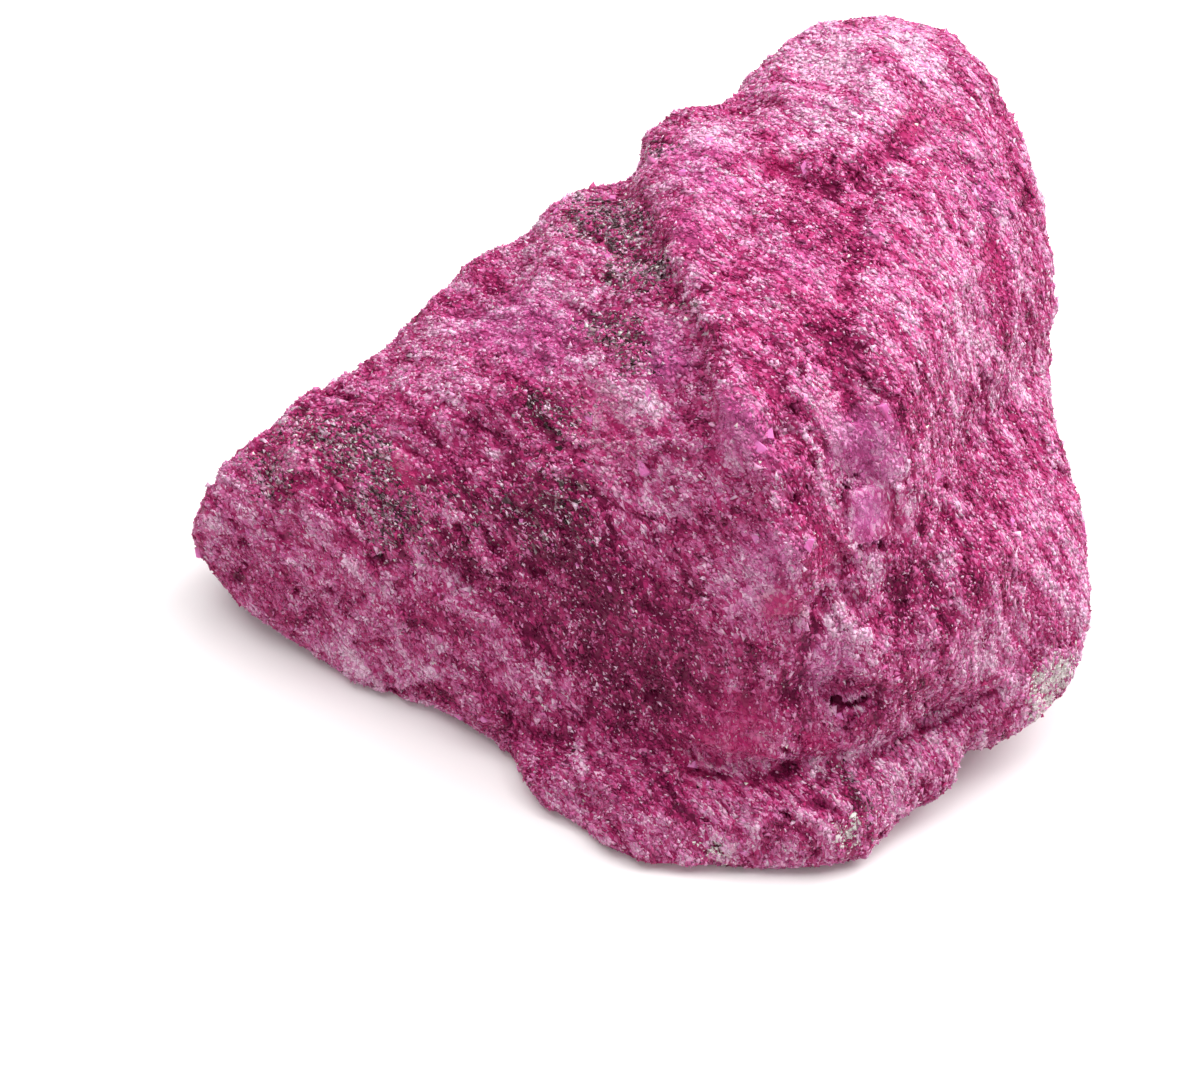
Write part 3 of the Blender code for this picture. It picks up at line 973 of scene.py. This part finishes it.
def cleavage_material(colours):
    """A cleaved face of ruby: bright glassy pink with fine lines."""
    nodes = Nodes("Cleaved ruby")
    lines = nodes.waves(nodes.along_layers(5.0), 700.0, Detail=4.0, Roughness=0.6)
    blots = nodes.waves(nodes.along_layers(1.0), 900.0)
    lined = nodes.span(lines, 0.3, 0.7, 0.25, 0.65)
    tone = nodes.maths("ADD", lined, nodes.span(blots, 0.3, 0.7, -0.2, 0.2))
    stops = [(0.0, colours.magenta), (0.55, colours.violet), (1.0, colours.pink)]
    nodes.join(nodes.ramp(tone, stops), nodes.shader.inputs["Base Color"])
    nodes.join(nodes.span(lines, 0.3, 0.7, 0.35, 0.6), nodes.shader.inputs["Roughness"])
    bump = nodes.add("ShaderNodeBump", {"Height": lines, "Strength": 0.25, "Distance": 0.1 * MM})
    nodes.join(bump.outputs["Normal"], nodes.shader.inputs["Normal"])
    return nodes.finish(0.4, 0.2, 0.8)


# ---------------------------------------------------------------- grains


class SkinSampler:
    """Random places on the skin, with its normal and stored values there."""

    def __init__(self, seed):
        self.random = np.random.default_rng(seed)
        mesh = bpy.data.objects[SKIN].data
        mesh.calc_loop_triangles()
        corners = np.empty(len(mesh.loop_triangles) * 3, np.int64)
        mesh.loop_triangles.foreach_get("vertices", corners)
        self.triangles = corners.reshape(-1, 3)
        self.places = positions(mesh) / MM
        self.fields = {name: stored(mesh, name) for name in (*FIELDS, "hollow", "tone")}
        outward = np.empty(len(mesh.vertices) * 3)
        mesh.attributes["outward"].data.foreach_get("vector", outward)
        self.outward = outward.reshape(-1, 3)
        a, b, c = (self.places[self.triangles[:, i]] for i in range(3))
        self.area = np.linalg.norm(np.cross(b - a, c - a), axis=1) / 2

    def draw(self, wanted, weight):
        """Places drawn with a chance that goes with the weight of their face."""
        odds = self.area * weight
        odds = np.where(self.places[self.triangles][:, :, 2].min(1) > GRAINS_ABOVE, odds, 0)
        chosen = self.random.choice(len(odds), wanted, p=odds / odds.sum())
        chosen.sort()
        share = self.random.random((wanted, 2))
        over = share.sum(1) > 1
        share[over] = 1 - share[over]
        share = np.column_stack([1 - share.sum(1), share])
        corners = self.triangles[chosen]
        place = (self.places[corners] * share[:, :, None]).sum(1)
        values = {name: (field[corners] * share).sum(1) for name, field in self.fields.items()}
        facing = (self.outward[corners] * share[:, :, None]).sum(1)
        return place, facing / np.linalg.norm(facing, axis=1)[:, None], values

    def face_values(self, name):
        """The stored values of one name, for each face."""
        return self.fields[name][self.triangles].mean(1)


def grain_shapes(random, count):
    """Corners and faces of some fragments with four faces, each in a box from -1 to 1."""
    deselect()
    bpy.ops.mesh.primitive_cone_add(vertices=3, radius1=1, radius2=0, depth=1.5, end_fill_type="NGON")
    first = bpy.context.object
    mesh = first.data
    faces = np.array([tuple(face.vertices) for face in mesh.polygons])
    corners = positions(mesh) + random.uniform(-0.25, 0.25, (count, len(mesh.vertices), 3))
    bpy.data.objects.remove(first)
    bpy.data.meshes.remove(mesh)
    for number in range(count):
        spin = Quaternion(random.normal(size=4)).normalized().to_matrix()
        corners[number] = corners[number] @ np.array(spin).T
    low, high = corners.min(1, keepdims=True), corners.max(1, keepdims=True)
    return (corners - (low + high) / 2) / ((high - low) / 2), faces


def turned(random, facing, lean):
    """A frame for each grain: along the layers, across, and out of the skin, then leant at random."""
    along = np.cross(np.array(LAYERS_FACE), facing)
    weak = np.linalg.norm(along, axis=1) < 0.15
    along[weak] = np.cross((0.3, -0.5, 0.8), facing[weak])
    along /= np.linalg.norm(along, axis=1)[:, None]
    frame_of = np.stack([along, np.cross(facing, along), facing], 2)
    axis = random.normal(size=facing.shape)
    axis /= np.linalg.norm(axis, axis=1)[:, None]
    angle = random.normal(0, lean, len(facing))
    x, y, z = axis.T
    zero = np.zeros_like(x)
    cross = np.stack([zero, -z, y, z, zero, -x, -y, x, zero], 1).reshape(-1, 3, 3)
    spin = np.eye(3) + np.sin(angle)[:, None, None] * cross
    spin += (1 - np.cos(angle))[:, None, None] * (cross @ cross)
    return spin @ frame_of


def grain_piece(name, sampler, place, facing, size, tone, lean, lift):
    """One piece made of many grains, each a closed form set a share of its height above the skin."""
    random = sampler.random
    shapes, faces = grain_shapes(random, GRAIN_SHAPES)
    count = len(place)
    forms = shapes[random.integers(0, len(shapes), count)] * size[:, None, :] / 2
    frames = turned(random, facing, lean)
    corners = np.einsum("nij,nkj->nki", frames, forms)
    corners += (place + facing * (size[:, 2] * lift)[:, None])[:, None, :]
    corners[:, :, 2] = np.maximum(corners[:, :, 2], GRAINS_END)
    per = forms.shape[1]
    index = (faces[None] + (np.arange(count) * per)[:, None, None]).reshape(-1, 3)
    mesh = bpy.data.meshes.new(name)
    mesh.vertices.add(count * per)
    mesh.vertices.foreach_set("co", (corners * MM).astype(np.float32).ravel())
    mesh.loops.add(index.size)
    mesh.loops.foreach_set("vertex_index", index.astype(np.int32).ravel())
    mesh.polygons.add(len(index))
    mesh.polygons.foreach_set("loop_start", np.arange(0, index.size, 3, dtype=np.int32))
    mesh.update(calc_edges=True)
    across = math.ceil(math.sqrt(count))
    rank = np.argsort(np.argsort(tone))
    cell = np.stack(np.divmod(rank, across)[::-1], 1) / across
    spot = np.array([(0.15, 0.15), (0.85, 0.15), (0.5, 0.85)]) / across
    uv = np.tile((cell[:, None] + spot[None])[:, None], (1, len(faces), 1, 1))
    mesh.uv_layers.new(name=UV_MAP).uv.foreach_set("vector", uv.astype(np.float32).ravel())
    store(mesh, "tone", np.repeat(tone, len(faces)), "FACE")
    store(mesh, "gloss", np.repeat(random.random(count), len(faces)), "FACE")
    piece = bpy.data.objects.new(name, mesh)
    bpy.context.scene.collection.objects.link(piece)
    return piece


def tint_grains(piece, random, values, share):
    """Stores how crimson and how lilac each grain is: from its patch, and a little at random."""
    count = len(values["tone"])
    faces = len(piece.data.polygons) // count
    for tint, patch, strength in (("red", "crimson", 0.85), ("lilac", "violet", 0.7)):
        stray = 0.35 * np.clip(values["tone"], 0, 1) * (random.random(count) < 0.25)
        tinted = np.maximum(strength * values[patch], stray) * share
        store(piece.data, tint, np.repeat(tinted, faces), "FACE")


def grain_sizes(random, count, length, stretch, flat):
    """Length along the layers, width and height of each grain, in mm."""
    base = length * np.exp(random.normal(0, 0.28, count))
    long = base * random.uniform(*stretch, count)
    return np.column_stack([long, base, base * random.uniform(*flat, count)])


def cleaved_block(centre, out, spread, turn, proud, random):
    """One crystal cleaved flat, with slanted ends, sunk so that its face stands a little proud."""
    long, wide = spread
    deep = 0.7 * wide
    deselect()
    bpy.ops.mesh.primitive_cube_add(size=1, calc_uvs=False)
    piece = bpy.context.object
    piece.data.transform(Matrix.Diagonal((long, wide, deep, 1)))
    bpy.ops.object.mode_set(mode="EDIT")
    for side in (1, -1):
        bpy.ops.mesh.select_all(action="SELECT")
        bpy.ops.mesh.bisect(
            plane_co=(side * long * random.uniform(0.30, 0.44), 0, 0),
            plane_no=(side, random.uniform(-0.5, 0.5), random.uniform(0.1, 0.5)),
            use_fill=True,
            clear_outer=True,
        )
    bpy.ops.mesh.select_all(action="SELECT")
    bpy.ops.mesh.bisect(
        plane_co=(0, wide * random.uniform(0.25, 0.4), 0),
        plane_no=(random.uniform(-0.4, 0.4), 1, random.uniform(0.1, 0.6)),
        use_fill=True,
        clear_outer=True,
    )
    bpy.ops.object.mode_set(mode="OBJECT")
    apply(piece, "BEVEL", width=0.05 * wide, segments=1, limit_method="ANGLE")
    stand = out.to_track_quat("Z", "Y").to_matrix().to_4x4() @ Matrix.Rotation(turn, 4, "Z")
    middle = Vector(centre) - out * (deep / 2 - proud)
    piece.data.transform(Matrix.Translation(middle) @ stand)
    piece.data.transform(Matrix.Scale(MM, 4))
    return piece


# ---------------------------------------------------------------- operators


class RUBY_OT_skin(bpy.types.Operator):
    """Lay the stone's broken skin over the plain solid"""

    bl_idname = "ruby.skin"
    bl_label = "Ruby skin"

    def execute(self, context):
        sizes = context.scene.ruby_stone
        stone = skin_form(sizes)
        work_relief(stone, sizes)
        stone.data.shade_smooth()
        stone.data.set_sharp_from_angle(angle=math.radians(32))
        dress(stone, ruby_skin_material(context.scene.ruby_colours))
        return {"FINISHED"}


class RUBY_OT_grains(bpy.types.Operator):
    """Cover the skin with sugary grains of ruby, from maroon to frosted pink"""

    bl_idname = "ruby.grains"
    bl_label = "Ruby grains"

    def execute(self, context):
        sizes = context.scene.ruby_stone
        colours = context.scene.ruby_colours
        tints = {"red": colours.crimson, "lilac": colours.violet}
        material = grain_material("Ruby grains", ruby_stops(colours, 0.36), (0.10, 0.52), tints)
        for turn in range(GRAIN_PIECES):
            sampler = SkinSampler(SEED + turn)
            bare = 1 - 0.8 * sampler.face_values("smooth")
            bare *= 1 - 0.6 * sampler.face_values("mica")
            bare *= 1.1 - 0.9 * sampler.face_values("hollow") ** 2
            place, facing, values = sampler.draw(sizes.grains, np.maximum(bare, 0.03))
            random = sampler.random
            spread = 0.24 - 0.14 * np.clip(values["tone"], 0, 1) + 0.08 * values["deep"]
            # Each grain takes the skin's tone at its place, with its painted shade and painted
            # highlights.
            tone = values["tone"] + random.normal(0.0, spread) - TONE["crimson"] * values["crimson"]
            even = (1 - 0.7 * values["pale"]) * (1 - values["smooth"])
            tone += TONE["streak"] * streaks_at(place) * even
            # Some grains, more in the deep patches, are set near white: partly the stone's frosted
            # grains and partly painted glints.
            frost_and_painted_glint = random.random(len(place)) < 0.08 + 0.11 * values["deep"]
            tone = np.clip(np.where(frost_and_painted_glint, random.uniform(0.75, 1.0, len(place)), tone), 0, 1)
            size = grain_sizes(random, len(place), sizes.grain / MM, (1.1, 2.4), (0.6, 1.0))
            size *= (np.where(frost_and_painted_glint, 0.65, 1.0) * (1 - 0.4 * values["smooth"]))[:, None]
            name = f"ruby_grains_{turn + 1}"
            piece = grain_piece(name, sampler, place, facing, size, tone, lean=0.5, lift=0.02)
            tint_grains(piece, random, values, np.where(frost_and_painted_glint, 0.2, 1.0))
            dress(piece, material)
        return {"FINISHED"}


class RUBY_OT_splinters(bpy.types.Operator):
    """Lay thin splinters of ruby along the layers, which stand a little proud of the skin"""

    bl_idname = "ruby.splinters"
    bl_label = "Ruby splinters"

    def execute(self, context):
        sizes = context.scene.ruby_stone
        sampler = SkinSampler(SEED + 20)
        shown = np.abs(sampler.outward @ np.array(LAYERS_FACE))[sampler.triangles].mean(1)
        weight = (1 - 0.85 * sampler.face_values("smooth")) * (1.15 - shown ** 2)
        place, facing, values = sampler.draw(sizes.splinters, weight)
        random = sampler.random
        # Each splinter takes the skin's tone at its place, with its painted shade and painted
        # highlights.
        tone = values["tone"] + random.normal(0.02, 0.20, len(place))
        tone -= TONE["crimson"] * values["crimson"]
        tone = np.clip(tone + TONE["streak"] * streaks_at(place), 0, 1)
        size = grain_sizes(random, len(place), sizes.splinter / MM, (2.2, 4.8), (0.5, 0.8))
        piece = grain_piece("ruby_splinters", sampler, place, facing, size, tone, lean=0.08, lift=-0.10)
        tint_grains(piece, random, values, 1.0)
        dress(piece, bpy.data.materials["Ruby grains"])
        return {"FINISHED"}


class RUBY_OT_mica(bpy.types.Operator):
    """Set flakes of mica in their streaks, and a few elsewhere"""

    bl_idname = "ruby.mica"
    bl_label = "Mica flakes"

    def execute(self, context):
        sizes = context.scene.ruby_stone
        colours = context.scene.ruby_colours
        sampler = SkinSampler(SEED + 30)
        weight = 0.0008 + sampler.face_values("mica") ** 1.5
        place, facing, _ = sampler.draw(sizes.flakes, weight)
        random = sampler.random
        size = grain_sizes(random, len(place), sizes.flake / MM, (1.2, 2.8), (0.16, 0.3))
        tone = random.random(len(place))
        piece = grain_piece("mica_flakes", sampler, place, facing, size, tone, lean=0.5, lift=0.0)
        # The paler flakes, in silver and frost, are partly silvery mica and partly painted glints.
        stops = [
            (0.0, colours.mica),
            (0.30, colours.mica),
            (0.62, colours.silver_and_painted_glint),
            (0.9, colours.frost),
        ]
        dress(piece, grain_material("Mica flakes", stops, (0.12, 0.4)))
        return {"FINISHED"}


class RUBY_OT_crumbs(bpy.types.Operator):
    """Leave crumbs of white matrix on the stone"""

    bl_idname = "ruby.crumbs"
    bl_label = "Matrix crumbs"

    def execute(self, context):
        sizes = context.scene.ruby_stone
        colours = context.scene.ruby_colours
        sampler = SkinSampler(SEED + 40)
        weight = 0.0005 + sampler.face_values("cream") ** 2 + 0.02 * sampler.face_values("mica")
        place, facing, _ = sampler.draw(sizes.crumbs, weight)
        random = sampler.random
        size = grain_sizes(random, len(place), sizes.crumb / MM, (1.0, 1.6), (0.5, 0.9))
        tone = random.random(len(place))
        piece = grain_piece("matrix_crumbs", sampler, place, facing, size, tone, lean=0.7, lift=-0.05)
        stops = [
            (0.0, colours.pink),
            (0.15, colours.cream),
            (0.8, colours.cream),
            (1.0, colours.frost),
        ]
        dress(piece, grain_material("White matrix", stops, (0.3, 0.7)))
        return {"FINISHED"}


class RUBY_OT_cleavages(bpy.types.Operator):
    """Set flat cleaved crystals in the skin, which show as small bright planes"""

    bl_idname = "ruby.cleavages"
    bl_label = "Cleaved crystals"

    def execute(self, context):
        colours = context.scene.ruby_colours
        skin = SkinSampler(SEED + 50)
        random = skin.random
        wanted = [(np.array(centre), np.array(out), *rest) for centre, out, *rest in CLEAVAGES]
        place, facing, _ = skin.draw(SMALL_CLEAVAGES, 1 - 0.6 * skin.face_values("mica"))
        for centre, out in zip(place, facing):
            wide = random.uniform(0.3, 0.8)
            out = out + random.normal(0, 0.25, 3)
            long = wide * random.uniform(1.1, 1.8)
            wanted.append((centre, out, (long, wide), random.uniform(0, 180), 0.1))
        made = []
        for centre, out, spread, turn, proud in wanted:
            near = skin.places[np.argmin(((skin.places - centre) ** 2).sum(1))]
            out = Vector(out).normalized()
            made.append(cleaved_block(near, out, spread, math.radians(turn), proud, random))
        deselect()
        for piece in made:
            piece.select_set(True)
        bpy.context.view_layer.objects.active = made[0]
        bpy.ops.object.join()
        piece = made[0]
        piece.name = piece.data.name = "cleaved_crystals"
        dress(piece, cleavage_material(colours))
        return {"FINISHED"}


class RUBY_OT_stage(bpy.types.Operator):
    """Set the floor, the camera and the light"""

    bl_idname = "ruby.stage"
    bl_label = "Studio"

    def execute(self, context):
        stage = context.scene.ruby_stage
        deselect()
        bpy.ops.mesh.primitive_plane_add(size=FLOOR_SIZE, location=(0, 0, 0))
        floor = context.object
        floor.name = "floor"
        nodes = Nodes("Pale floor")
        nodes.shader.inputs["Base Color"].default_value = (*context.scene.ruby_colours.floor, 1)
        nodes.shader.inputs["Roughness"].default_value = 0.6
        floor.data.materials.append(nodes.material)
        back = Vector((0, -math.cos(stage.elevation), math.sin(stage.elevation)))
        camera = bpy.data.objects.new("camera", bpy.data.cameras.new("camera"))
        context.scene.collection.objects.link(camera)
        camera.data.lens = LENS
        camera.data.sensor_width = SENSOR
        camera.data.clip_start = 0.01
        camera.location = Vector(stage.target) + back * stage.distance
        camera.rotation_euler = (-back).to_track_quat("-Z", "Y").to_euler()
        context.scene.camera = camera
        for name, place, wide, power in LIGHTS:
            lamp = bpy.data.lights.new(name, "AREA")
            lamp.size = wide
            lamp.energy = power
            light = bpy.data.objects.new(name, lamp)
            context.scene.collection.objects.link(light)
            light.location = place
            light.rotation_euler = Vector(place).to_track_quat("Z", "Y").to_euler()
        world = bpy.data.worlds.new("Pale room")
        world.use_nodes = True
        context.scene.world = world
        background = world.node_tree.nodes["Background"]
        background.inputs["Color"].default_value = WORLD_COLOUR
        background.inputs["Strength"].default_value = WORLD_STRENGTH
        context.scene.view_settings.view_transform = "Standard"
        return {"FINISHED"}


class RUBY_PT_panel(bpy.types.Panel):
    """Buttons that build the stone, in order"""

    bl_idname = "RUBY_PT_panel"
    bl_label = "Raw ruby crystal"
    bl_space_type = "VIEW_3D"
    bl_region_type = "UI"
    bl_category = "Raw ruby"

    def draw(self, context):
        for step in STEPS:
            self.layout.operator(step.bl_idname)
        for group in GROUPS:
            settings = getattr(context.scene, group)
            for name in settings.bl_rna.properties.keys():
                if name not in ("rna_type", "name"):
                    self.layout.prop(settings, name)


STEPS = (
    RUBY_OT_skin,
    RUBY_OT_grains,
    RUBY_OT_splinters,
    RUBY_OT_mica,
    RUBY_OT_crumbs,
    RUBY_OT_cleavages,
    RUBY_OT_stage,
)
GROUPS = {
    "ruby_stone": RubyStoneSettings,
    "ruby_colours": RubyColourSettings,
    "ruby_stage": RubyStageSettings,
}


def register():
    for group in (*GROUPS.values(), *STEPS, RUBY_PT_panel):
        bpy.utils.register_class(group)
    for name, group in GROUPS.items():
        setattr(bpy.types.Scene, name, PointerProperty(type=group))


def unregister():
    for name in GROUPS:
        delattr(bpy.types.Scene, name)
    for group in reversed((*GROUPS.values(), *STEPS, RUBY_PT_panel)):
        bpy.utils.unregister_class(group)


def main():
    register()
    for step in STEPS:
        group, name = step.bl_idname.split(".")
        getattr(getattr(bpy.ops, group), name)()


if __name__ == "__main__":
    main()
